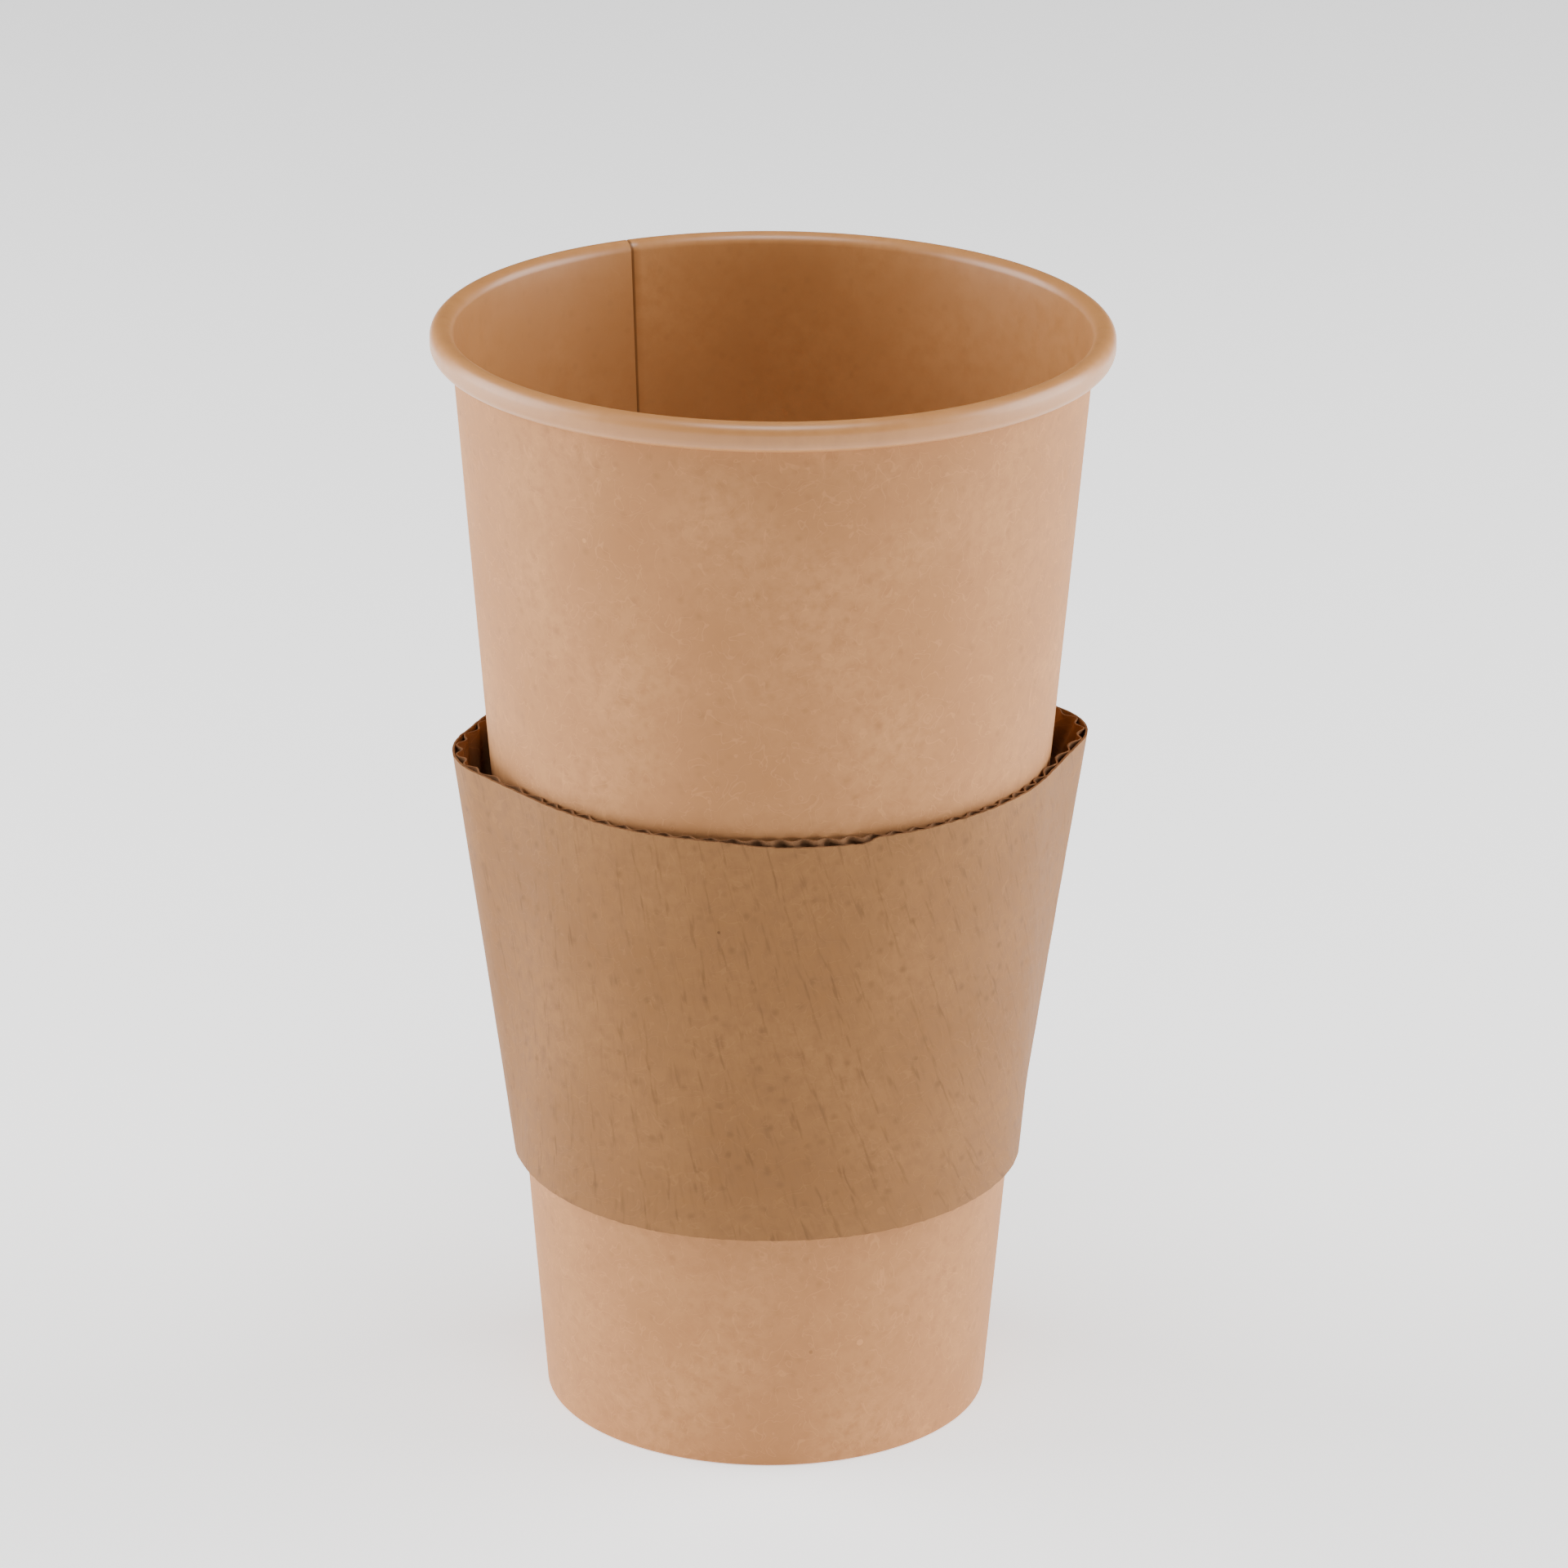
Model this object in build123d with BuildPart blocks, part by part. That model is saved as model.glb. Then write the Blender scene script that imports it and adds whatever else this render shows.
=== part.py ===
from build123d import *
from math import acos, asin, atan, cos, degrees, radians, sin
from numpy import cumsum, interp
import os

# A paper cup for hot drinks in a corrugated sleeve. Millimetres, +Z up.
# The origin is the centre of the foot, on the table. Azimuths are degrees from +X, anticlockwise.

# Driving dimensions of the cup
cup_height = 151.0
rim_diameter = 90.0          # over the rolled rim: the size that lids are sold by
rim_height = 3.9             # of the rolled rim
rim_overhang = 2.9           # of the rolled rim past the wall below it
foot_diameter = 60.0         # outside of the wall at the table
wall_board = 0.40            # paperboard of the side wall
base_board = 0.35            # paperboard of the base
base_height = 9.0            # the cup's floor above the table
strip_gap = 1.25             # from the base down to the strip turned in round its skirt
skirt_gap = 0.50             # from the fold at the foot up to the skirt's lower edge
foot_crease = 0.05           # inner radius of the two folds at the foot
base_crease = 0.55           # inner radius between the base and its skirt
glue_line = 0.02             # between layers that are sealed face to face

# The side seam: the outer layer laps over the inner one, whose cut edge shows inside
seam_azimuth = 117.5
seam_lap = 12.0              # degrees of double board
seam_jog = 4.0               # degrees in which the board steps out over the inner layer
seam_press = 10.0            # height above the foot where the outer layer is at its full step
roll_clearance = 0.08        # between the roll's free edge and the wall

# Driving dimensions of the sleeve
sleeve_bottom = 35.0
sleeve_top = 93.0
sleeve_turn = 9.0            # the line through the two creases, from +X
liner_board = 0.30
flute_board = 0.20
flute_height = 1.12          # over the crests, paper included
crest_glue = 0.06            # between the flutes' crests and the liner
flute_pitch = 3.4            # at half height
sleeve_clearance = 0.05      # between the flutes and the cup
crease_stand_bottom = 0.2    # how far the unrounded creases stand out past the panels
crease_stand_top = 5.8
left_crease_radius = 15.5
right_crease_radius = 13.0
sleeve_seam = 72.0           # the inner end of the glued lap, from the right crease
sleeve_lap = 17.0            # degrees of lap
sleeve_jog = 5.0             # degrees in which the outer end steps over the inner one
lap_glue = 0.07              # each side of the crushed flutes inside the lap

# Fits worked out from the sizes above
wall_top = cup_height - rim_height
wall_slope = ((rim_diameter - foot_diameter) / 2 - rim_overhang) / wall_top
wall_angle = degrees(atan(wall_slope))
wall_across = wall_board / cos(radians(wall_angle))      # board measured level
skirt_across = base_board / cos(radians(wall_angle))
glue_across = glue_line / cos(radians(wall_angle))
strip_face = 2 * wall_across + skirt_across + 2 * glue_across    # from the wall's outside
strip_height = base_height - base_board - strip_gap
skirt_rise = wall_board + skirt_gap


def wall_radius(height):
    """Outer radius of the cup's wall at a height above the table."""
    return foot_diameter / 2 + wall_slope * height


def upright(azimuth):
    """The half plane through the cup's axis at an azimuth: x is the radius, y the height."""
    a = radians(azimuth)
    return Plane(origin=(0, 0, 0), x_dir=(cos(a), sin(a), 0), z_dir=(sin(a), -cos(a), 0))


# The roll runs over the top in half a turn, then down a short straight, then back to the wall
roll_radius = (rim_diameter / 2 - wall_radius(cup_height) + wall_across) / (
    1 + 1 / cos(radians(wall_angle)) - wall_slope
)
roll_straight = rim_height - 2 * roll_radius
roll_start = cup_height - roll_radius + (roll_radius - wall_board) * sin(radians(wall_angle))


def side_wall_section(azimuth, step=0.0, layers=1):
    """Section of the side wall's sheet, from the strip turned in at the foot to the roll's edge.
    step moves it out over another layer; layers is how many lie against the wall there."""
    slope = radians(wall_angle)
    bend = roll_radius - wall_board - step
    reach = roll_radius - layers * wall_board - roll_clearance
    closing = degrees(asin(reach / (bend + wall_board)))
    ends = []
    with BuildSketch(upright(azimuth)) as section:
        with BuildLine():
            for depth in (0.0, wall_board):      # the outer face, then the inner one
                across = depth / cos(slope)
                strip_top = (wall_radius(strip_height) - strip_face + across, strip_height)
                foot_inner = (wall_radius(depth) - strip_face + across, depth)
                foot_outer = (wall_radius(depth) - across, depth)
                inset = Vector(-depth * cos(slope), depth * sin(slope))
                pressed = Vector(wall_radius(seam_press) + step, seam_press) + inset
                top = Vector(wall_radius(roll_start) + step, roll_start) + inset
                foot = [strip_top, foot_inner, foot_outer, pressed]
                strip = FilletPolyline(*foot, radius=wall_board + foot_crease - depth)
                rise = Line(pressed, top)
                over = JernArc(top, rise % 1, bend + depth, wall_angle - 180)
                down = Line(over @ 1, over @ 1 - Vector(0, roll_straight))
                close = JernArc(down @ 1, (0, -1), bend + depth, -90 - closing)
                ends += [strip @ 0, close @ 1]
            Line(ends[0], ends[2])
            Line(ends[1], ends[3])
        make_face()
    return section.sketch


# Side wall: one sheet, turned in at the foot, rolled at the rim and lapped at its side seam
with BuildPart() as side_wall:
    revolve(
        side_wall_section(seam_azimuth + seam_lap),
        axis=Axis.Z,
        revolution_arc=360 - seam_lap - seam_jog,
    )
    jog_start = side_wall_section(seam_azimuth - seam_jog)
    jog_end = side_wall_section(seam_azimuth, step=wall_across, layers=2)
    loft([jog_start, jog_end], ruled=True)
    for step in (0.0, wall_across):
        layer = side_wall_section(seam_azimuth, step=step, layers=2)
        revolve(layer, axis=Axis.Z, revolution_arc=seam_lap)
side_wall.part.label = "side_wall"


# Cup base: a pressed disc whose edge is turned down as a skirt, between the wall and its strip
with BuildPart() as cup_base:
    with BuildSketch(Plane.XZ) as base_section:
        with BuildLine():
            ends = []
            for depth in (0.0, base_board):      # the upper and outer face, then the other one
                skirt_face = wall_across + glue_across + depth / cos(radians(wall_angle))
                middle = (0, base_height - depth)
                shoulder = (wall_radius(base_height - depth) - skirt_face, base_height - depth)
                hem = (wall_radius(skirt_rise) - skirt_face, skirt_rise)
                face = FilletPolyline(middle, shoulder, hem, radius=base_board + base_crease - depth)
                ends += [face @ 0, face @ 1]
            Line(ends[0], ends[2])
            Line(ends[1], ends[3])
        make_face()
    revolve(axis=Axis.Z)
cup_base.part.label = "cup_base"


# Out from the cup's wall: the flutes, the glue on their crests, then the liner
sleeve_standoff = sleeve_clearance + flute_height + crest_glue + liner_board
flute_middle = sleeve_clearance + flute_height / 2
flute_swing = (flute_height - flute_board) / 2
lap_step = liner_board + flute_board + 2 * lap_glue
lap_flute_middle = sleeve_standoff + lap_glue + flute_board / 2


def sleeve_plane(height):
    """Level plane whose x axis points at the sleeve's right crease."""
    return Plane.XY.offset(height).rotated((0, 0, sleeve_turn))


def on_circle(radius, azimuth):
    """Point at a radius and an azimuth of the sleeve's own."""
    return Vector(radius, 0).rotate(Axis.Z, azimuth)


def wrap(height, standoff):
    """One turn of the sleeve in plan at a height, standoff from the cup's wall where the panels
    lie on it: back panel, left crease, front panel, right crease, back panel, anticlockwise from
    the inner end of the glued lap to the place where the outer end steps over it."""
    rise = (height - sleeve_bottom) / (sleeve_top - sleeve_bottom)
    outside = wall_radius(height) + sleeve_standoff
    crease = outside + crease_stand_bottom + (crease_stand_top - crease_stand_bottom) * rise
    turn = degrees(acos(outside / crease))      # from a crease to where its panels reach the cup
    radius = wall_radius(height) + standoff
    inset = sleeve_standoff - standoff
    with BuildLine() as path:
        CenterArc((0, 0), radius, sleeve_seam, 180 - turn - sleeve_seam)
        for azimuth, fillet_radius in ((180, left_crease_radius), (360, right_crease_radius)):
            FilletPolyline(
                on_circle(radius, azimuth - turn),
                on_circle(radius * crease / outside, azimuth),
                on_circle(radius, azimuth + turn),
                radius=fillet_radius - inset,
            )
            panel = 180 - 2 * turn if azimuth == 180 else sleeve_seam - sleeve_jog - turn
            CenterArc((0, 0), radius, azimuth + turn, panel)
    return path.wire()


def liner_section(height):
    """Plan of the sleeve's smooth outer ply at a height, with its glued lap."""
    ends = []
    with BuildSketch(sleeve_plane(height)) as section:
        with BuildLine():
            for standoff in (sleeve_standoff, sleeve_standoff - liner_board):
                lap_radius = wall_radius(height) + standoff + lap_step
                turn = wrap(height, standoff)
                add(turn)
                jog = Line(turn @ 1, on_circle(lap_radius, sleeve_seam))
                lap = CenterArc((0, 0), lap_radius, sleeve_seam, sleeve_lap)
                ends += [turn @ 0, lap @ 1]
            Line(ends[0], ends[2])
            Line(ends[1], ends[3])
        make_face()
    return section.sketch


# Sleeve liner: the smooth outer ply, creased twice to lie flat and glued where its ends lap
with BuildPart() as sleeve_liner:
    loft([liner_section(sleeve_bottom), liner_section(sleeve_top)], ruled=True)
sleeve_liner.part.label = "sleeve_liner"


def piece_ends(path):
    """Where each piece of a path ends, as shares of the path's length."""
    lengths = [0.0] + [edge.length for edge in path.order_edges()]
    return cumsum(lengths) / sum(lengths)


middle_wrap = wrap((sleeve_bottom + sleeve_top) / 2, flute_middle)
flute_count = round(middle_wrap.length / flute_pitch)

# Flutes that lie on the cup's lapped seam are crushed by the thickness of its outer layer
cup_seam = on_circle(1, seam_azimuth + (seam_lap - seam_jog) / 2 - sleeve_turn)
crushed_half = (seam_lap + seam_jog) / 2 + 360 / flute_count / 2      # degrees each way


def flute_face(height, side):
    """Arcs along one face of the fluted ply, half a flute each, with every second one turned out.
    side is 1 for the face towards the liner and -1 for the face towards the cup."""
    path = wrap(height, flute_middle)
    half_chord = path.length / flute_count / 4
    lean = 2 * atan(flute_swing / half_chord)      # of the ply where it crosses its middle line
    points = []
    for quarter in range(4 * flute_count + 1):
        share = interp(quarter / (4 * flute_count), piece_ends(middle_wrap), piece_ends(path))
        along = path % share
        outward = Vector(along.Y, -along.X)
        tilt = lean * (1, 0, -1, 0)[quarter % 4]
        on_seam = (path @ share).get_angle(cup_seam) < crushed_half
        trough = flute_swing - wall_across if on_seam else flute_swing
        wave = (0, flute_swing, 0, -trough)[quarter % 4]
        facing = outward * cos(tilt) - along * sin(tilt)
        middle = path @ share + outward * wave
        points.append(middle + facing * side * flute_board / 2)
    return [ThreePointArc(*points[i:i + 3], mode=Mode.PRIVATE) for i in range(0, 4 * flute_count, 2)]


def fluting_section(height):
    """Plan of the fluted ply at a height: flutes all round, pressed flat inside the lap."""
    ends = []
    with BuildSketch(sleeve_plane(height)) as section:
        with BuildLine():
            for side in (1, -1):
                lap_radius = wall_radius(height) + lap_flute_middle + side * flute_board / 2
                flutes = flute_face(height, side)
                add(flutes)
                jog = Line(flutes[-1] @ 1, on_circle(lap_radius, sleeve_seam))
                lap = CenterArc((0, 0), lap_radius, sleeve_seam, sleeve_lap)
                ends += [flutes[0] @ 0, lap @ 1]
            Line(ends[0], ends[2])
            Line(ends[1], ends[3])
        make_face()
    return section.sketch


# Sleeve fluting: the inner ply, waved from top to bottom and glued to the liner at its crests
with BuildPart() as sleeve_fluting:
    loft([fluting_section(sleeve_bottom), fluting_section(sleeve_top)], ruled=True)
sleeve_fluting.part.label = "sleeve_fluting"


os.makedirs("parts", exist_ok=True)
for piece in (side_wall, cup_base, sleeve_liner, sleeve_fluting):
    export_step(piece.part, f"parts/{piece.part.label}.step")
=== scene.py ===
from math import acos, asin, atan, cos, pi, radians, sin, tan

import bmesh
import bpy
from mathutils import Matrix, Vector, noise


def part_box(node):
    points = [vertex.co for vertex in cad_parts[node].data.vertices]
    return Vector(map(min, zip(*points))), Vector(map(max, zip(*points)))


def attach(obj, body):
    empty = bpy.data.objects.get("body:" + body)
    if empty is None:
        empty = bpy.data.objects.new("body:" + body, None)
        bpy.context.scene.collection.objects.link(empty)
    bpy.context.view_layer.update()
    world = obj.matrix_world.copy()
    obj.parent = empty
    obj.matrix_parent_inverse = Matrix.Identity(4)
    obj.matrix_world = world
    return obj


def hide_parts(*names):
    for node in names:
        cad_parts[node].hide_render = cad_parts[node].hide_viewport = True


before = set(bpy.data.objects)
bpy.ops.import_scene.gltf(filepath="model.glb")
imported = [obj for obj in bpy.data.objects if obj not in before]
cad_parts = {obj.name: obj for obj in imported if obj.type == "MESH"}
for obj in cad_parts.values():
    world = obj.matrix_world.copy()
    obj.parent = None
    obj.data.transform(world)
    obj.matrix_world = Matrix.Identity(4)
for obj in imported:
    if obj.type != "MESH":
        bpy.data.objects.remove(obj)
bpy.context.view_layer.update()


# ----------------------------------------------------------------------------------------------
# Side wall: one blank of unbleached cup board, wrapped into a cone with a sealed side seam.
# Its foot is turned in to clamp the base, and its top is rolled outwards into the drinking rim.
# Bare kraft faces outwards. A thin plastic coating makes the inside darker and glossier.

mm = 0.001
wall_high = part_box("side_wall")[1]
cup_height = wall_high.z / mm
rim_radius = wall_high.x / mm
rim_height = 3.9
rim_overhang = 2.9
foot_radius = 30.0
wall_board = 0.40
base_board = 0.35
glue_line = 0.02
strip_height = 7.4
fold_radius = 0.45
roll_clearance = 0.08
seam_azimuth = 117.5
seam_lap = 12.0
seam_jog = 0.8
seam_press = 10.0           # height at the foot over which the seam is pressed back to one face
wall_rows = 60

wall_slope = (rim_radius - foot_radius - rim_overhang) / (cup_height - rim_height)
wall_angle = atan(wall_slope)
wall_across = wall_board / cos(wall_angle)
strip_face = 2 * wall_across + (base_board + 2 * glue_line) / cos(wall_angle)
roll_radius = (rim_radius - foot_radius - wall_slope * cup_height + wall_across) / (
    1 + 1 / cos(wall_angle) - wall_slope
)


def wall_radius(height):
    """Outer radius of the cup's wall at a height, both in millimetres."""
    return foot_radius + wall_slope * height


def fold(start, heading, *moves):
    """Points along a sheet seen on edge. Each move is a straight length, then the turn in
    radians, the radius and the number of steps of the bend after it."""
    here = Vector(start)
    points = [here]
    for length, turn, radius, steps in moves:
        if length:
            here = here + Vector((cos(heading), sin(heading))) * length
            points.append(here)
        for _ in range(steps):
            heading += turn / steps / 2
            chord = 2 * radius * abs(sin(turn / steps / 2))
            here = here + Vector((cos(heading), sin(heading))) * chord
            heading += turn / steps / 2
            points.append(here)
    return points


def wall_shape(step, layers):
    """Outer face of the wall's sheet on edge, from the strip turned in at the foot to the free
    edge inside the roll. step is how far it stands out over another layer in the side seam."""
    first, second = pi / 2 + wall_angle, pi / 2 - wall_angle
    setback = fold_radius * tan(first / 2)
    flat = strip_face - setback - fold_radius * tan(second / 2)
    shape = fold(
        (wall_radius(strip_height) - strip_face, strip_height),
        -first,
        (strip_height / cos(wall_angle) - setback, first, fold_radius, 6),
        (flat, second, fold_radius, 6),
    )
    bend = roll_radius - wall_board - step
    closing = asin((roll_radius - layers * wall_board - roll_clearance) / (bend + wall_board))
    top = cup_height - roll_radius + bend * sin(wall_angle)
    roll = fold(
        (wall_radius(top) + step, top),
        second,
        (0, -pi + wall_angle, bend, 18),
        (rim_height - 2 * roll_radius, -pi / 2 - closing, bend, 8),
    )
    foot = shape[-1].y
    for row in range(1, wall_rows):
        height = foot + (top - foot) * row / wall_rows
        stand = step * min(height / seam_press, 1)
        shape.append(Vector((wall_radius(height) + stand, height)))
    return shape + roll


def on_blank(along, angle):
    """Place on the flat blank of a spot on the wall: a part of a ring, because it wraps into a
    cone. along is its distance up the sheet."""
    reach = foot_radius / sin(wall_angle) + along
    flat = angle * sin(wall_angle)
    return Vector((reach * sin(flat), reach * cos(flat), 0)) * mm


def wrap_wall(mesh, edge, azimuth, turn, steps, shapes):
    """Sweeps the sheet's leading edge round the cup's axis in equal steps, easing it from one
    shape to the other, and returns the new leading edge."""
    for step in range(1, steps + 1):
        swept = bmesh.ops.spin(
            mesh, geom=edge, cent=(0, 0, 0), axis=(0, 0, 1), angle=radians(turn / steps), steps=1
        )
        edge = swept["geom_last"]
        angle = radians(azimuth + turn * step / steps)
        for vert in edge:
            if isinstance(vert, bmesh.types.BMVert):
                now, then = (shape[vert[station]] for shape in shapes)
                place = now.lerp(then, step / steps)
                vert.co = Vector((place.x * cos(angle), place.x * sin(angle), place.y)) * mm
                vert[sheet] = on_blank(up_sheet[vert[station]], angle)
    return edge


def thicken(mesh, board):
    """Gives a sheet its thickness, behind the face that is drawn. The third value of a vertex's
    place on the sheet is its depth, so it is nought on that face alone."""
    drawn = set(mesh.verts)
    bmesh.ops.solidify(mesh, geom=mesh.faces[:], thickness=board * mm)
    for vert in mesh.verts:
        if vert not in drawn:
            vert[mesh.verts.layers.float_vector["sheet"]].z = board * mm


def finish_piece(mesh, name, materials):
    """Makes the finished mesh an object that rides on the cup, smooth but for its cut edges.
    The first material is on the face that was drawn, the next behind it and the last on the cuts."""
    sharp = radians(38)
    sheet = mesh.verts.layers.float_vector["sheet"]
    for face in mesh.faces:
        face.smooth = True
        behind = [vert[sheet].z for vert in face.verts]
        if min(behind) != max(behind):
            face.material_index = len(materials) - 1
        elif behind[0] > 0:
            face.material_index = min(1, len(materials) - 1)
    for edge in mesh.edges:
        edge.smooth = len(edge.link_faces) == 2 and edge.calc_face_angle() < sharp
    data = bpy.data.meshes.new(name)
    mesh.to_mesh(data)
    mesh.free()
    for material in materials:
        data.materials.append(material)
    piece = bpy.data.objects.new(name, data)
    bpy.context.scene.collection.objects.link(piece)
    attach(piece, "root")
    return piece


def shader(tree, kind, sockets=(), **settings):
    """Adds a shader node with its settings. A socket is given a value or another node's output."""
    made = tree.nodes.new("ShaderNode" + kind)
    for name, value in settings.items():
        setattr(made, name, value)
    for name, value in dict(sockets).items():
        if isinstance(value, bpy.types.NodeSocket):
            tree.links.new(value, made.inputs[name])
        else:
            made.inputs[name].default_value = value
    return made


def mixed(tree, share, first, second):
    """Colour between two colours; 0, 6 and 7 are the Mix node's factor and its two colours."""
    node = shader(tree, "Mix", {0: share, 6: first, 7: second}, data_type="RGBA")
    return node.outputs[2]


def between(tree, value, low, high, to_low=0.0, to_high=1.0):
    """Maps low to high of a value onto another range, and holds it at its ends."""
    sockets = {"Value": value, "From Min": low, "From Max": high, "To Min": to_low, "To Max": to_high}
    return shader(tree, "MapRange", sockets, clamp=True).outputs[0]


def kraft(name, pale, deep, rough, fibre=0.3, fleck=0.5, relief=0.03, coat=0.0, marks=None):
    """Board of unbleached wood fibre: cloudy where the pulp lies thicker, with soft specks, thin
    wandering fibres and a few flecks of bark, and a faintly uneven face. relief is in millimetres.
    marks gives a darker line or dash of painted shade: a share of the deepest colour at each spot."""
    made = bpy.data.materials.new(name)
    made.use_nodes = True
    tree = made.node_tree
    tree.nodes.clear()
    place = shader(tree, "Attribute", attribute_name="sheet").outputs["Vector"]
    dark, light = tuple(value * 0.5 for value in deep), tuple(value * 1.25 for value in pale)

    cloud = shader(tree, "TexNoise", {"Vector": place, "Scale": 60.0, "Detail": 3.0})
    pulp = shader(tree, "TexNoise", {"Vector": place, "Scale": 480.0, "Detail": 5.0, "Roughness": 0.6})
    hairs = shader(tree, "TexNoise", {"Vector": place, "Scale": 330.0, "Detail": 1.0, "Distortion": 1.2})
    specks = shader(tree, "TexVoronoi", {"Vector": place, "Scale": 620.0})
    flecks = shader(tree, "TexVoronoi", {"Vector": place, "Scale": 150.0})
    draw = shader(tree, "SeparateColor", {0: specks.outputs["Color"]}).outputs[0]
    lone = shader(tree, "SeparateColor", {0: flecks.outputs["Color"]})

    board = mixed(tree, between(tree, cloud.outputs[0], 0.3, 0.7), (*deep, 1), (*pale, 1))
    board = mixed(tree, between(tree, pulp.outputs[0], 0.4, 0.66), board, (*deep, 1))
    soft_spot = between(tree, specks.outputs["Distance"], 0.45, 0.1)
    shown = between(tree, draw, 0.55, 1.0, 0, 0.5 * fleck)
    soft_speck = shader(tree, "Math", {0: soft_spot, 1: shown}, operation="MULTIPLY").outputs[0]
    board = mixed(tree, soft_speck, board, (*dark, 1))
    off_hair = shader(tree, "Math", {0: hairs.outputs[0], 1: 0.5}, operation="SUBTRACT").outputs[0]
    off_hair = shader(tree, "Math", {0: off_hair}, operation="ABSOLUTE").outputs[0]
    hair = between(tree, off_hair, 0.016, 0.004)
    hair_share = shader(tree, "Math", {0: hair, 1: fibre}, operation="MULTIPLY").outputs[0]
    board = mixed(tree, hair_share, board, (*light, 1))
    size = between(tree, lone.outputs[0], 0.9, 1.0, 0, 0.09)
    chip = shader(tree, "Math", {0: flecks.outputs["Distance"], 1: size}, operation="LESS_THAN").outputs[0]
    chip_share = shader(tree, "Math", {0: chip, 1: fleck}, operation="MULTIPLY").outputs[0]
    bark = mixed(tree, between(tree, lone.outputs[1], 0.55, 0.65), (*dark, 1), (*light, 1))
    board = mixed(tree, chip_share, board, bark)
    if marks:
        board = mixed(tree, marks(tree, place), board, (*dark, 1))

    hills = shader(tree, "Math", {0: hair, 1: 0.5, 2: pulp.outputs[0]}, operation="MULTIPLY_ADD")
    bump = shader(tree, "Bump", {"Strength": 0.6, "Distance": relief * mm, "Height": hills.outputs[0]})
    finish = {
        "Base Color": board,
        "Roughness": between(tree, pulp.outputs[0], 0.3, 0.7, rough + 0.06, rough - 0.06),
        "Normal": bump.outputs[0],
        "Specular IOR Level": 0.25 + coat / 2,
        "Coat Weight": coat,
        "Coat Roughness": 0.3,
    }
    shader(tree, "OutputMaterial", {0: shader(tree, "BsdfPrincipled", finish).outputs[0]})
    return made


cup_kraft = kraft("cup_kraft", (0.54, 0.256, 0.101), (0.435, 0.195, 0.073), rough=0.7)


def seam_shadow(tree, place):
    """Dark line where the outer layer dips away behind the inner layer's cut edge."""
    spot = shader(tree, "SeparateXYZ", {0: place})
    angle = shader(tree, "Math", {0: spot.outputs[0], 1: spot.outputs[1]}, operation="ARCTAN2").outputs[0]
    jog = radians(seam_azimuth + 360 - seam_jog) * sin(wall_angle)
    soft_edge = radians(0.1) * sin(wall_angle)
    return between(tree, angle, jog, jog + soft_edge, 0, 0.85)


cup_coating = kraft(
    "cup_coating",
    (0.53, 0.24, 0.08),
    (0.47, 0.205, 0.065),
    rough=0.42,
    fibre=0.05,
    fleck=0.3,
    relief=0.01,
    coat=0.35,
    marks=seam_shadow,
)
cup_cut = kraft("cup_cut", (0.5, 0.27, 0.13), (0.36, 0.18, 0.08), rough=0.9)

wall = bmesh.new()
station = wall.verts.layers.int.new("station")
sheet = wall.verts.layers.float_vector.new("sheet")
plain, inner_lap, outer_lap = wall_shape(0, 1), wall_shape(0, 2), wall_shape(wall_across, 2)
up_sheet = [0.0]
for first, last in zip(plain, plain[1:]):
    up_sheet.append(up_sheet[-1] + (last - first).length)
start = radians(seam_azimuth)
rail = []
for number, point in enumerate(inner_lap):
    vert = wall.verts.new(Vector((point.x * cos(start), point.x * sin(start), point.y)) * mm)
    vert[station] = number
    vert[sheet] = on_blank(up_sheet[number], start)
    rail.append(vert)
edge = rail + [wall.edges.new(pair) for pair in zip(rail, rail[1:])]
once_round = 360 - seam_lap - seam_jog
azimuth = seam_azimuth
for turn, steps, shapes in (
    (seam_lap, 10, (inner_lap, plain)),
    (once_round, 258, (plain, plain)),
    (seam_jog, 3, (plain, outer_lap)),
    (seam_lap, 10, (outer_lap, outer_lap)),
):
    edge = wrap_wall(wall, edge, azimuth, turn, steps, shapes)
    azimuth += turn
bmesh.ops.recalc_face_normals(wall, faces=wall.faces[:])
bmesh.ops.reverse_faces(wall, faces=wall.faces[:])  # the face that was drawn looks outwards
wall.normal_update()
thicken(wall, wall_board)
cup_wall_paper = finish_piece(wall, "cup_wall_paper", [cup_kraft, cup_coating, cup_cut])
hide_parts("side_wall")


# ----------------------------------------------------------------------------------------------
# Base: a pressed disc of coated cup board. Its edge is turned down as a skirt, which is heat
# sealed between the wall and the strip that is turned up inside the foot.

base_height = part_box("cup_base")[1].z / mm
base_crease = 0.90
skirt_rise = 0.9
base_turns = 192
skirt_face = wall_across + glue_line / cos(wall_angle)
skirt_bend = pi / 2 + wall_angle
skirt_setback = base_crease * tan(skirt_bend / 2)
floor_radius = wall_radius(base_height) - skirt_face
skirt_length = (base_height - skirt_rise) / cos(wall_angle)
base = bmesh.new()
sheet = base.verts.layers.float_vector.new("sheet")
rings = 12
floor_steps = [((floor_radius - skirt_setback) / rings, 0, 0, 0)] * (rings - 1)
base_shape = fold(
    (0, base_height),
    0,
    *floor_steps,
    ((floor_radius - skirt_setback) / rings, -skirt_bend, base_crease, 8),
    (skirt_length - skirt_setback, 0, 0, 0),
)
rail = [base.verts.new(Vector((point.x, 0, point.y)) * mm) for point in base_shape]
edge = rail + [base.edges.new(pair) for pair in zip(rail, rail[1:])]
bmesh.ops.spin(
    base, geom=edge, cent=(0, 0, 0), axis=(0, 0, 1), angle=2 * pi, steps=base_turns, use_merge=True
)
bmesh.ops.remove_doubles(base, verts=base.verts[:], dist=0.001 * mm)
for vert in base.verts:
    around = vert.co.xy.normalized()
    spread = vert.co.xy.length + (base_height * mm - vert.co.z)
    vert[sheet] = (around.x * spread, around.y * spread, 0)
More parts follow.
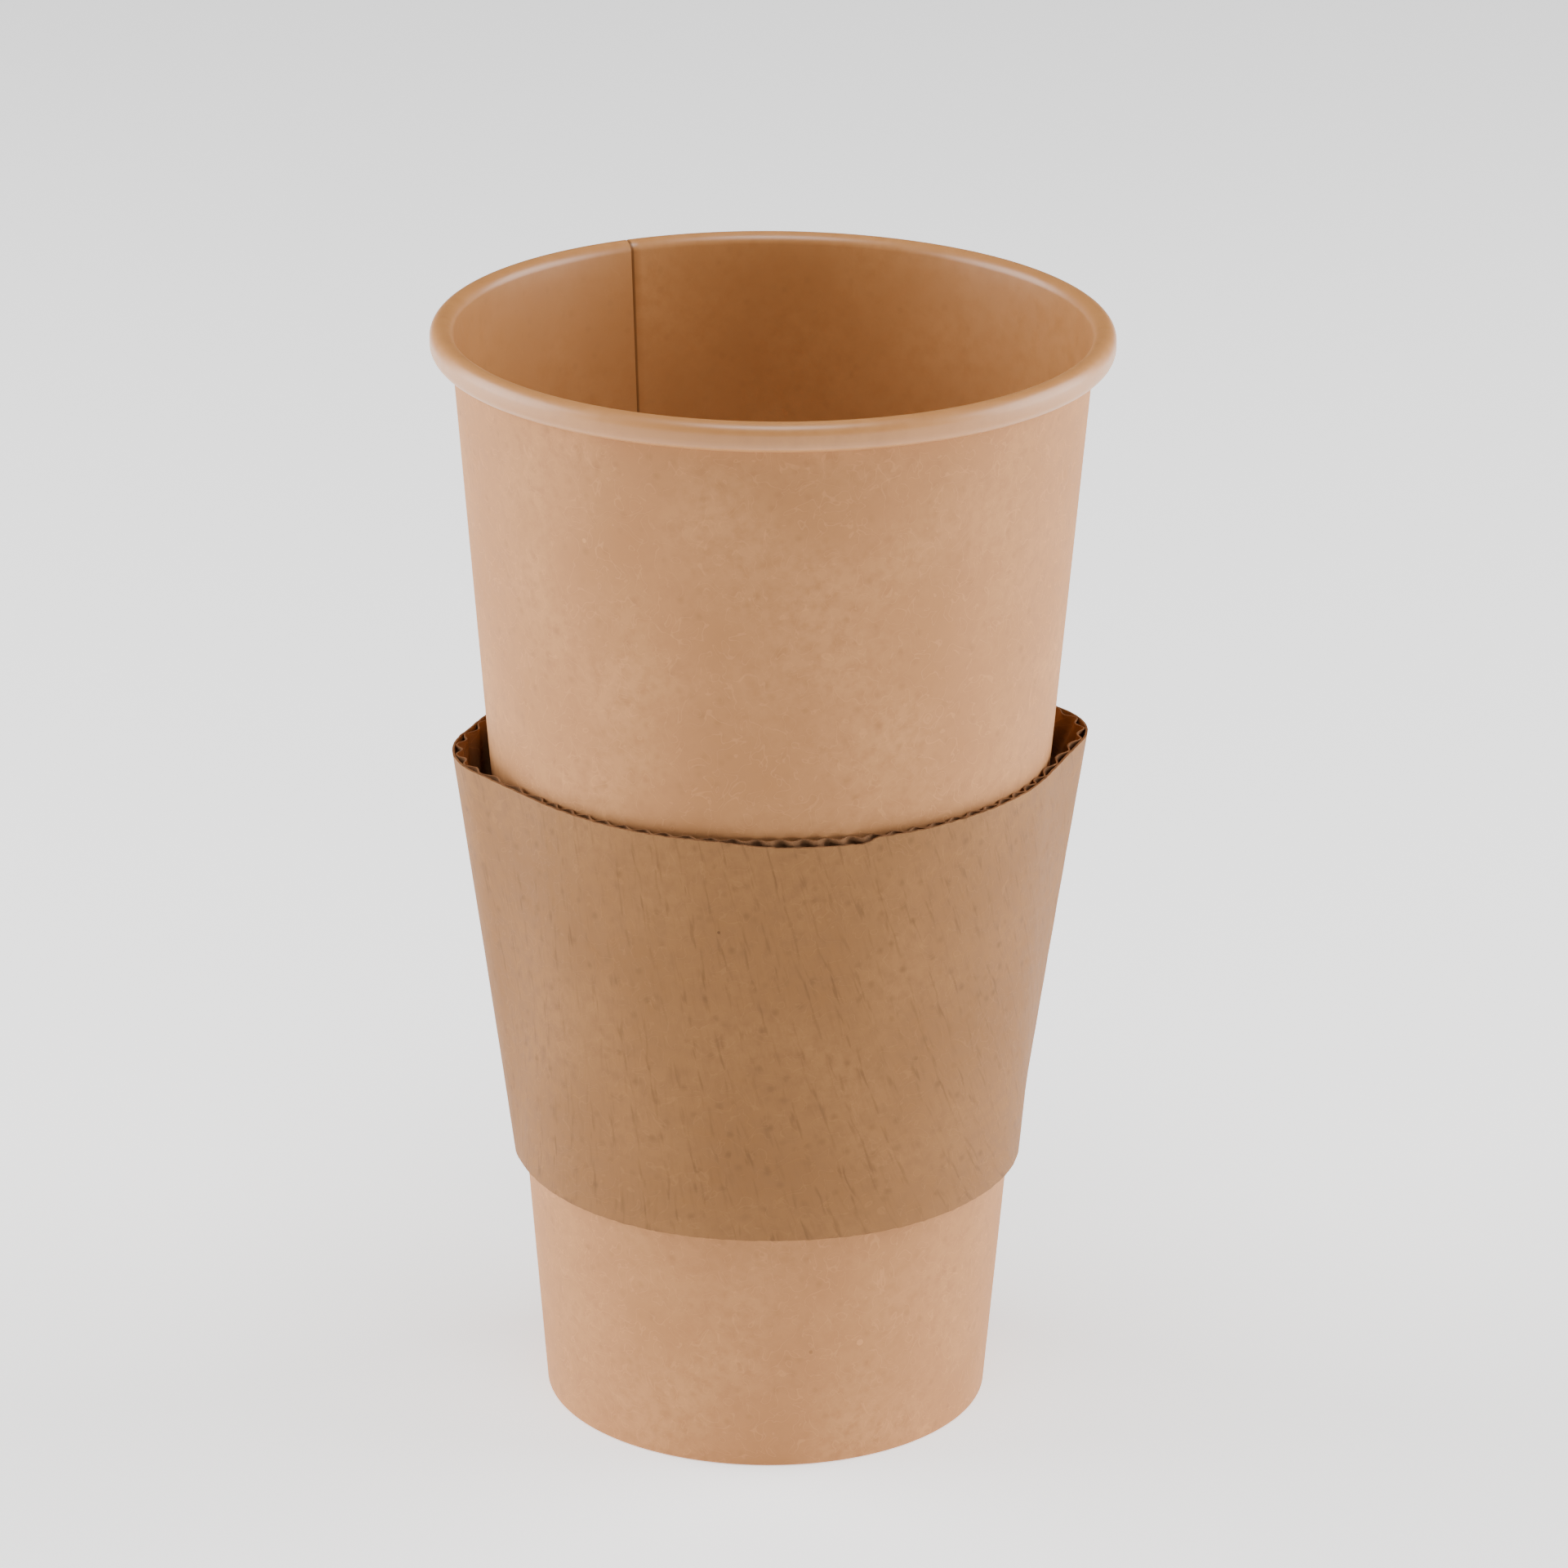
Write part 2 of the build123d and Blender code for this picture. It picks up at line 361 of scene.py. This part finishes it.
bmesh.ops.recalc_face_normals(base, faces=base.faces[:])
base.normal_update()
thicken(base, base_board)
base_bare = kraft("base_bare", (0.54, 0.256, 0.101), (0.435, 0.195, 0.073), rough=0.75)
cup_base_paper = finish_piece(base, "cup_base_paper", [cup_coating, base_bare, cup_cut])
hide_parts("cup_base")


# ----------------------------------------------------------------------------------------------
# Sleeve fluting: the waved inner ply of single-face corrugated board, rough and more absorbent.
# Its crests are glued to the liner and its troughs grip the cup. Its waves run straight across
# the flat blank, so they lean as the blank wraps round the cone.

liner_low, liner_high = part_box("sleeve_liner")
sleeve_bottom, sleeve_top = liner_low.z / mm, liner_high.z / mm
sleeve_turn = 9.0
liner_board = 0.30
flute_board = 0.20
flute_height = 1.12
crest_glue = 0.06
sleeve_clearance = 0.05
crease_stand = (0.2, 5.8)
crease_radii = {180: 15.5, 360: 13.0}
sleeve_seam = 72.0
sleeve_lap = 17.0
sleeve_jog = 5.0
lap_glue = 0.07
flute_pitch = 3.36
flute_lean = radians(16.8)
sleeve_standoff = sleeve_clearance + flute_height + crest_glue + liner_board
lap_step = liner_board + flute_board + 2 * lap_glue
sleeve_middle = (sleeve_bottom + sleeve_top) / 2
blank_radius = 413.0
crush_reach = 6.0           # each way from the middle of the cup's seam
crush_ease = 1.0
press_ease = 1.5            # before the step up to the glued lap
crest_depth = liner_board + crest_glue + flute_height / 2
flute_swing = (flute_height - flute_board) / 2


def arc_run(centre, radius, start, sweep):
    """Part of the sleeve's plan that bends about a centre: its length, and place and facing."""
    def at(share):
        facing = start + sweep * share
        return centre + Vector((cos(facing), sin(facing))) * radius, facing
    return radius * sweep, at


def flat_run(first, last, facing):
    """Part of the sleeve's plan that is straight."""
    return (last - first).length, lambda share: (first.lerp(last, share), facing)


def sleeve_plan(height):
    """Runs of the sleeve's outer face in plan at a height, anticlockwise from the inner end of
    the glued lap: panels on the cup's cone, the two creases that stand out, and the lap."""
    rise = (height - sleeve_bottom) / (sleeve_top - sleeve_bottom)
    radius = wall_radius(height) + sleeve_standoff
    tip = radius + crease_stand[0] + (crease_stand[1] - crease_stand[0]) * rise
    turn = acos(radius / tip)
    origin = Vector((0, 0))
    seam, jog = radians(sleeve_seam), radians(sleeve_jog)
    runs = [arc_run(origin, radius, seam, pi - turn - seam)]
    for crease, bend in crease_radii.items():
        middle = radians(crease)
        axis = Vector((cos(middle), sin(middle)))
        hub = axis * (tip - bend / cos(turn))
        first, last = middle - turn, middle + turn
        towards, away = Vector((cos(first), sin(first))), Vector((cos(last), sin(last)))
        panel = pi - 2 * turn if crease == 180 else seam - jog - turn
        runs += [
            flat_run(towards * radius, hub + towards * bend, first),
            arc_run(hub, bend, first, 2 * turn),
            flat_run(hub + away * bend, away * radius, last),
            arc_run(origin, radius, last, panel),
        ]
    start, over = seam - jog, radius + lap_step
    runs.append(
        flat_run(
            Vector((cos(start), sin(start))) * radius,
            Vector((cos(seam), sin(seam))) * over,
            seam - jog / 2 - atan(lap_step / (radius * jog)),
        )
    )
    runs.append(arc_run(origin, over, seam, radians(sleeve_lap)))
    return runs


middle_runs = sleeve_plan(sleeve_middle)
run_ends = [sum(length for length, _ in middle_runs[:count]) for count in range(len(middle_runs) + 1)]
blank_length = run_ends[-1]
front_middle = (run_ends[4] + run_ends[5]) / 2


def on_sleeve(along, height, depth):
    """Place on the wrapped sleeve of a spot on its flat blank: along it at half height, up it,
    and in from its outer face."""
    run = max(i for i in range(len(middle_runs)) if run_ends[i] <= along + 1e-6)
    run = min(run, len(middle_runs) - 1)
    share = (along - run_ends[run]) / (run_ends[run + 1] - run_ends[run])
    place, facing = sleeve_plan(height)[run][1](share)
    place = place - Vector((cos(facing), sin(facing))) * depth
    angle = radians(sleeve_turn)
    return Vector(
        (
            place.x * cos(angle) - place.y * sin(angle),
            place.x * sin(angle) + place.y * cos(angle),
            height,
        )
    )


def flute_phase(along, height):
    """Angle of the flutes' wave at a spot on the blank: nought on a crest."""
    turn = (along - front_middle) / blank_radius
    reach = blank_radius + (height - sleeve_middle) / cos(wall_angle)
    across = reach * sin(turn) * cos(flute_lean) + reach * cos(turn) * sin(flute_lean)
    return 2 * pi * across / flute_pitch


def smooth(value, low, high):
    """Eases from 0 at low to 1 at high."""
    share = min(max((value - low) / (high - low), 0), 1)
    return share * share * (3 - 2 * share)


def die_cut(along, height, wear):
    """Height on the blank with its cut edges: slightly ragged, and worn down at the front in a
    shallow dip that ends where the two ends of the cutting rule met."""
    rise = (height - sleeve_bottom) / (sleeve_top - sleeve_bottom)
    torn = 0.09 * noise.noise(Vector((along * 0.9, 3.1, 0)))
    rag = torn + 0.06 * noise.noise(Vector((along * 3.1, 8.7, 0)))
    drift = 0.3 * noise.noise(Vector((along * 0.05, 1.7, 0)))
    past_middle = along - front_middle
    dip = wear * smooth(past_middle, -16, -4) * smooth(past_middle, 9, 6.4)
    return height + (rag + drift - dip) * rise**6 - (rag - drift) * (1 - rise) ** 6


def wrap_sleeve(columns, rows, depth_at, wear):
    """Wraps a flat blank of sleeve board round the cup, each spot at its own depth below the
    sleeve's outer face, and returns it as a sheet of no thickness."""
    mesh = bmesh.new()
    sheet = mesh.verts.layers.float_vector.new("sheet")
    bmesh.ops.create_grid(mesh, x_segments=columns, y_segments=rows, size=0.5)
    for vert in mesh.verts:
        along = (vert.co.x + 0.5) * blank_length
        height = sleeve_bottom + (vert.co.y + 0.5) * (sleeve_top - sleeve_bottom)
        turn = (along - front_middle) / blank_radius
        reach = blank_radius + (height - sleeve_middle) / cos(wall_angle)
        vert[sheet] = Vector((reach * sin(turn), reach * cos(turn), 0)) * mm
        place = on_sleeve(along, height, depth_at(along, height))
        place.z = die_cut(along, height, wear)
        vert.co = place * mm
    mesh.normal_update()
    return mesh


def flute_depth(along, height):
    """Depth of the waved ply's drawn face. Its troughs are crushed over the cup's side seam, and
    it is pressed flat inside the glued lap."""
    wave = flute_swing * cos(flute_phase(along, height))
    crush_middle = seam_azimuth + (seam_lap - seam_jog) / 2 - sleeve_turn - sleeve_seam
    off_seam = abs(along - radians(crush_middle) * (wall_radius(sleeve_middle) + sleeve_standoff))
    if wave < 0:
        wave *= 1 - smooth(off_seam, crush_reach + crush_ease, crush_reach) * wall_across / flute_swing
    pressed = smooth(along, run_ends[9] - press_ease, run_ends[10])
    middle = crest_depth + (liner_board + lap_glue + flute_board / 2 - crest_depth) * pressed
    return middle - wave * (1 - 0.97 * pressed) - flute_board / 2


flute_kraft = kraft(
    "flute_kraft", (0.25, 0.12, 0.052), (0.2, 0.094, 0.04), rough=0.85, fibre=0.5, fleck=0.7
)
sleeve_cut = kraft(
    "sleeve_cut", (0.23, 0.108, 0.043), (0.15, 0.068, 0.026), rough=0.9, fibre=0.5, relief=0.05
)
fluting = wrap_sleeve(700, 46, flute_depth, 0)
thicken(fluting, flute_board)
sleeve_flutes = finish_piece(fluting, "sleeve_flutes", [flute_kraft, flute_kraft, sleeve_cut])
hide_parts("sleeve_fluting")


# ----------------------------------------------------------------------------------------------
# Sleeve liner: the smooth outer ply of the corrugated sleeve, in darker recycled kraft. Two
# scored creases let the sleeve be packed flat, so they stand off the cup once it is opened, and
# its ends are glued where they lap at the back. The glued crests print through very faintly.

print_through = 0.03
edge_wear = 0.75


def liner_depth(along, height):
    """Depth of the liner's drawn face: it sinks a little between the crests it is glued to."""
    patch = 0.6 + 0.8 * noise.noise(Vector((along * 0.04, height * 0.05, 4.4)))
    return print_through * patch * (1 - cos(flute_phase(along, height))) / 2


def crest_print_shade(tree, place):
    """Short dark dashes of painted shade along the crests the liner is glued to, where they print through
    it.
    """
    across = (cos(flute_lean), sin(flute_lean), 0)
    dot = shader(tree, "VectorMath", {0: place, 1: across}, operation="DOT_PRODUCT").outputs["Value"]
    turn = shader(tree, "Math", {0: dot, 1: 2 * pi / flute_pitch / mm}, operation="MULTIPLY").outputs[0]
    crest = shader(tree, "Math", {0: turn}, operation="COSINE").outputs[0]
    drawn_out = {"Vector": place, "Rotation": (0, 0, flute_lean), "Scale": (1, 7, 1)}
    laid = shader(tree, "Mapping", drawn_out, vector_type="TEXTURE").outputs[0]
    streak = shader(tree, "TexNoise", {"Vector": laid, "Scale": 2100.0, "Detail": 1.0}).outputs[0]
    patch = shader(tree, "TexNoise", {"Vector": place, "Scale": 110.0, "Detail": 2.0}).outputs[0]
    dash = between(tree, streak, 0.5, 0.66)
    on_crest = between(tree, crest, 0.2, 0.95, 0.25, 1)
    in_patch = between(tree, patch, 0.35, 0.62, 0.15, 0.5)
    for share in (on_crest, in_patch):
        dash = shader(tree, "Math", {0: dash, 1: share}, operation="MULTIPLY").outputs[0]
    return dash


# The liner's colour carries painted shade in dashes along the flute crests that print through it.
liner_kraft = kraft(
    "liner_kraft",
    (0.3, 0.138, 0.046),
    (0.24, 0.107, 0.034),
    rough=0.68,
    fibre=0.25,
    fleck=0.9,
    marks=crest_print_shade,
)
liner = wrap_sleeve(640, 48, liner_depth, edge_wear)
thicken(liner, liner_board)
sleeve_outer = finish_piece(liner, "sleeve_outer", [liner_kraft, flute_kraft, sleeve_cut])
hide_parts("sleeve_liner")


# ----------------------------------------------------------------------------------------------
# Studio: a pale floor under a pale sky, a large soft light on each side, one high above that
# reaches into the cup, and the camera a little above it.

floor_reach = 6
floor_white = (0.9, 0.9, 0.9, 1)
floor_mesh = bmesh.new()
bmesh.ops.create_grid(floor_mesh, x_segments=1, y_segments=1, size=floor_reach)
floor_data = bpy.data.meshes.new("studio_floor")
floor_mesh.to_mesh(floor_data)
floor_mesh.free()
floor_paint = bpy.data.materials.new("floor_paint")
floor_paint.use_nodes = True
floor_shader = floor_paint.node_tree.nodes["Principled BSDF"]
floor_shader.inputs["Base Color"].default_value = floor_white
floor_shader.inputs["Roughness"].default_value = 0.9
floor_shader.inputs["Specular IOR Level"].default_value = 0.1
floor_shader.inputs["Emission Color"].default_value = (1, 1, 1, 1)
floor_shader.inputs["Emission Strength"].default_value = 0.9
floor_data.materials.append(floor_paint)
studio_floor = bpy.data.objects.new("studio_floor", floor_data)
bpy.context.scene.collection.objects.link(studio_floor)

sky = bpy.data.worlds.new("studio_sky")
sky.use_nodes = True
air = sky.node_tree.nodes["Background"]
towards = shader(sky.node_tree, "TexCoord").outputs["Generated"]
upward = shader(sky.node_tree, "SeparateXYZ", {0: towards}).outputs[2]
glow = between(sky.node_tree, upward, 0.1, 0.95, 0.9, 0.75)
sky.node_tree.links.new(glow, air.inputs["Strength"])
bpy.context.scene.world = sky

cup_middle = Vector((0, 0, 0.08))
for name, place, width, power in (
    ("left_softbox", (-0.75, 0.1, 0.3), 0.7, 12.0),
    ("right_softbox", (0.75, 0.1, 0.3), 0.7, 12.0),
    ("high_softbox", (0, -0.3, 1.1), 0.5, 8.5),
):
    lamp = bpy.data.lights.new(name, "AREA")
    lamp.shape = "SQUARE"
    lamp.size = width
    lamp.energy = power
    softbox = bpy.data.objects.new(name, lamp)
    softbox.location = place
    softbox.rotation_euler = (cup_middle - Vector(place)).to_track_quat("-Z", "Y").to_euler()
    bpy.context.scene.collection.objects.link(softbox)

camera_place = Vector((0, -0.9043, 0.4215))
camera_aim = Vector((0.0019, 0, 0.0866))
camera_roll = radians(0.46)
lens = bpy.data.cameras.new("camera")
lens.lens = 165.2
lens.sensor_width = 36
camera = bpy.data.objects.new("camera", lens)
bpy.context.scene.collection.objects.link(camera)
looking = (camera_aim - camera_place).to_track_quat("-Z", "Y").to_matrix().to_4x4()
camera.matrix_world = Matrix.Translation(camera_place) @ looking @ Matrix.Rotation(camera_roll, 4, "Z")
bpy.context.scene.camera = camera
